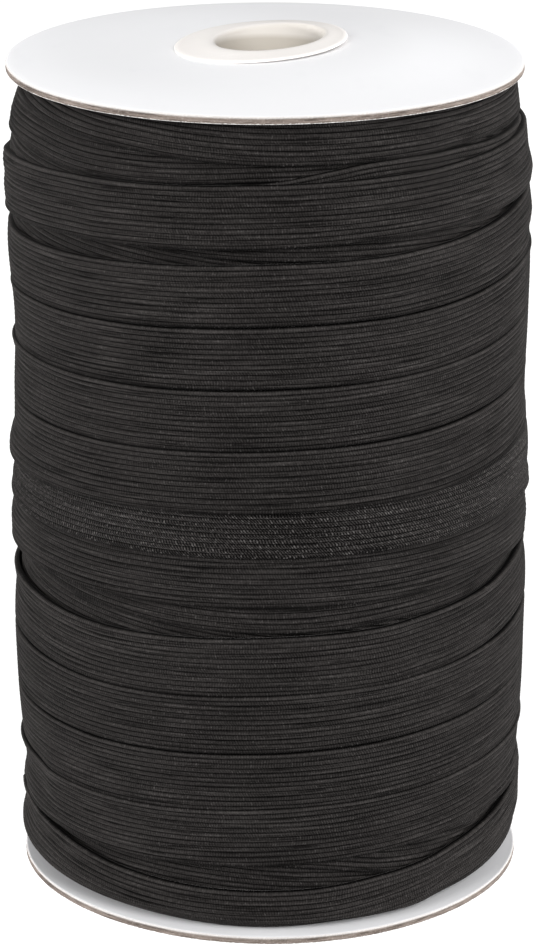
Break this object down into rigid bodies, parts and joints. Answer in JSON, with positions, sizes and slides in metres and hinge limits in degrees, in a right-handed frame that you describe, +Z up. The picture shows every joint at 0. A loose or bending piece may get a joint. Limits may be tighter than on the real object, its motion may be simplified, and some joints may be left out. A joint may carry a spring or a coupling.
{
  "type": "roll of elastic on a card spool",
  "caption": "Flat ribbed elastic wound in overlapping turns on a spool with round card flanges and a flared plastic tube.",
  "frame": {"origin": "under the tube's axis, on the surface the spool stands on", "axes": "+Z up along the tube, -Y to the front, +X to the right seen from the front"},
  "size_m": [0.0863, 0.0862, 0.1425],
  "materials": {
    "elastic": "matte",
    "card": "matte",
    "tube": "satin"
  },
  "bodies": {
    "root": {"winding": "elastic", "flange_top": "card", "flange_bottom": "card", "core": "tube"}
  },
  "joints": []
}
